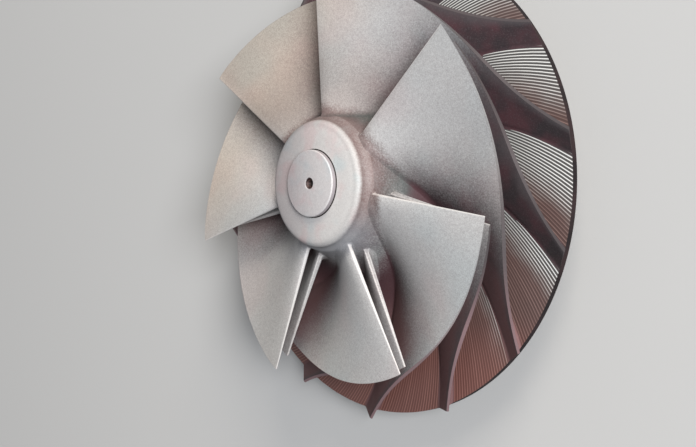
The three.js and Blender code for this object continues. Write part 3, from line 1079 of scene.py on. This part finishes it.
# %% Shaft end
CHAMFER = 1.2 * MM
HOLE_MOUTH, HOLE_RADIUS, HOLE_CONE, HOLE_DEPTH = 4.8 * MM, 2.2 * MM, 4.5 * MM, 13 * MM
MOUTH_BREAK, MOUTH_DROP = 0.3 * MM, 0.2 * MM
shaft_radius = shaft_high.x
front = shaft_high.z
shaft_outline = [
    (0, shaft_low.z),
    (shaft_radius - CHAMFER, shaft_low.z),
    (shaft_radius, shaft_low.z + CHAMFER),
    (shaft_radius, front - CHAMFER),
    *arc((shaft_radius - CHAMFER, front - CHAMFER), CHAMFER, start=10, end=90, steps=5),
    (HOLE_MOUTH + MOUTH_BREAK, front),
    (HOLE_MOUTH, front - MOUTH_DROP),
    (HOLE_RADIUS, front - HOLE_CONE),
    (HOLE_RADIUS, front - HOLE_DEPTH),
    (0, front - HOLE_DEPTH - HOLE_RADIUS),
]
piece_from(spun(shaft_outline, SHAFT_FACETS), "shaft_end_skin", shaft_material, ["shaft_end"])

# %% Rear boss
BOSS_CORNER, BOSS_BREAK = 2 * MM, 1.5 * MM
boss_radius = boss_high.x
boss_outline = [
    (BORE_RADIUS + BOSS_BREAK, boss_low.z),
    *arc((boss_radius - BOSS_CORNER, boss_low.z + BOSS_CORNER), BOSS_CORNER, start=270, end=360, steps=5),
    (boss_radius, disc_low.z),
    (BORE_RADIUS, disc_low.z),
    (BORE_RADIUS, boss_low.z + BOSS_BREAK),
    (BORE_RADIUS + BOSS_BREAK, boss_low.z),
]
piece_from(spun(boss_outline, SHAFT_FACETS), "rear_boss_skin", back_material, ["rear_boss"])

# %% [markdown]
# Camera
#
# The photograph looks at the wheel from about 46 degrees above the rim, with the axis pointing to the
# picture's left, so the camera is rolled by about a quarter turn. It could be placed by eye, but its numbers
# come from a fit to points of the rim and the blades, so that the render lies over the photograph.

# %% The photograph's view
CAMERA_EYE = Vector((0.6815, 0.1516, 0.7417))
CAMERA_AZIMUTH, CAMERA_ELEVATION, CAMERA_ROLL = 18.21, 45.70, -92.65
CAMERA_LENS, CAMERA_SENSOR = 58.45, 36
CAMERA_SHIFT = (-0.0575, 0.0575)


def view_matrix(azimuth, elevation, roll):
    """The camera's turn, looking back along the line from the wheel to the eye."""
    round_wheel = Matrix.Rotation(math.radians(azimuth + 90), 4, "Z")
    down_to_wheel = Matrix.Rotation(math.radians(90 - elevation), 4, "X")
    return round_wheel @ down_to_wheel @ Matrix.Rotation(math.radians(roll), 4, "Z")


camera_data = bpy.data.cameras.new("camera")
camera_data.lens = CAMERA_LENS
camera_data.sensor_width = CAMERA_SENSOR
camera_data.shift_x, camera_data.shift_y = CAMERA_SHIFT
camera = bpy.data.objects.new("camera", camera_data)
view = view_matrix(CAMERA_AZIMUTH, CAMERA_ELEVATION, CAMERA_ROLL)
camera.matrix_world = Matrix.Translation(CAMERA_EYE) @ view
bpy.context.scene.collection.objects.link(camera)
bpy.context.scene.camera = camera
print("the eye is", round(CAMERA_EYE.length, 3), "m from the wheel's foot")

# %% [markdown]
# Floor and light
#
# A wide pale floor and two large soft lamps make the studio, under a pale even sky that fills the shadows.
# Lamps close to the wheel would burn a white patch into the floor and show in the other views. So they stand
# several times further off than the camera, and are that much larger and stronger, which lights the wheel
# the same and the floor evenly.

# %% Studio floor
STUDIO_FLOOR = 14.0
FLOOR_GAP = 0.5 * MM
FLOOR_COLOUR = rgb(0.50, 0.495, 0.49)


def studio_floor():
    bm = bmesh.new()
    bmesh.ops.create_circle(bm, cap_ends=True, segments=96, radius=STUDIO_FLOOR)
    bmesh.ops.translate(bm, verts=bm.verts, vec=(0, 0, -FLOOR_GAP))
    mesh = bpy.data.meshes.new("studio_floor")
    bm.to_mesh(mesh)
    bm.free()
    f = Finish("pale_floor")
    f.set(Base_Color=FLOOR_COLOUR, Roughness=0.9)
    mesh.materials.append(f.material)
    floor = bpy.data.objects.new("studio_floor", mesh)
    bpy.context.scene.collection.objects.link(floor)


studio_floor()
print("the studio floor is", 2 * STUDIO_FLOOR, "m across")

# %% Soft lamps and pale sky
LAMP_REACH = 6.0
SKY_TINT, SKY_STRENGTH = rgb(0.92, 0.95, 1.0), 0.23
wheel_middle = Vector((0, 0, 60 * MM))


def lamp(name, aside, size, power, tint):
    """A round lamp, a step (right, up, back) from the camera, then moved further off from the wheel.

    Size and power are those of a lamp at the camera's distance, and they grow with its reach.
    """
    beside = CAMERA_EYE + camera.matrix_world.to_3x3() @ Vector(aside)
    data = bpy.data.lights.new(name, "AREA")
    data.shape = "DISK"
    data.size = size * LAMP_REACH
    data.energy = power * LAMP_REACH ** 2
    data.color = tint
    light = bpy.data.objects.new(name, data)
    light.location = wheel_middle + (beside - wheel_middle) * LAMP_REACH
    light.rotation_euler = (wheel_middle - light.location).to_track_quat("-Z", "Y").to_euler()
    bpy.context.scene.collection.objects.link(light)
    print(name, "lamp is", round(data.size, 2), "m wide and", round(light.location.z, 2), "m up")


lamp("key", aside=(0.17, 0.11, 0.0), size=0.40, power=13.6, tint=(0.96, 0.98, 1.0))
lamp("top", aside=(0.0, 0.75, -0.4), size=0.45, power=5.4, tint=(1.0, 0.93, 0.82))
world = bpy.data.worlds.new("studio")
world.use_nodes = True
world.node_tree.nodes["Background"].inputs["Color"].default_value = SKY_TINT
world.node_tree.nodes["Background"].inputs["Strength"].default_value = SKY_STRENGTH
bpy.context.scene.world = world
bpy.context.scene.view_settings.view_transform = "Standard"
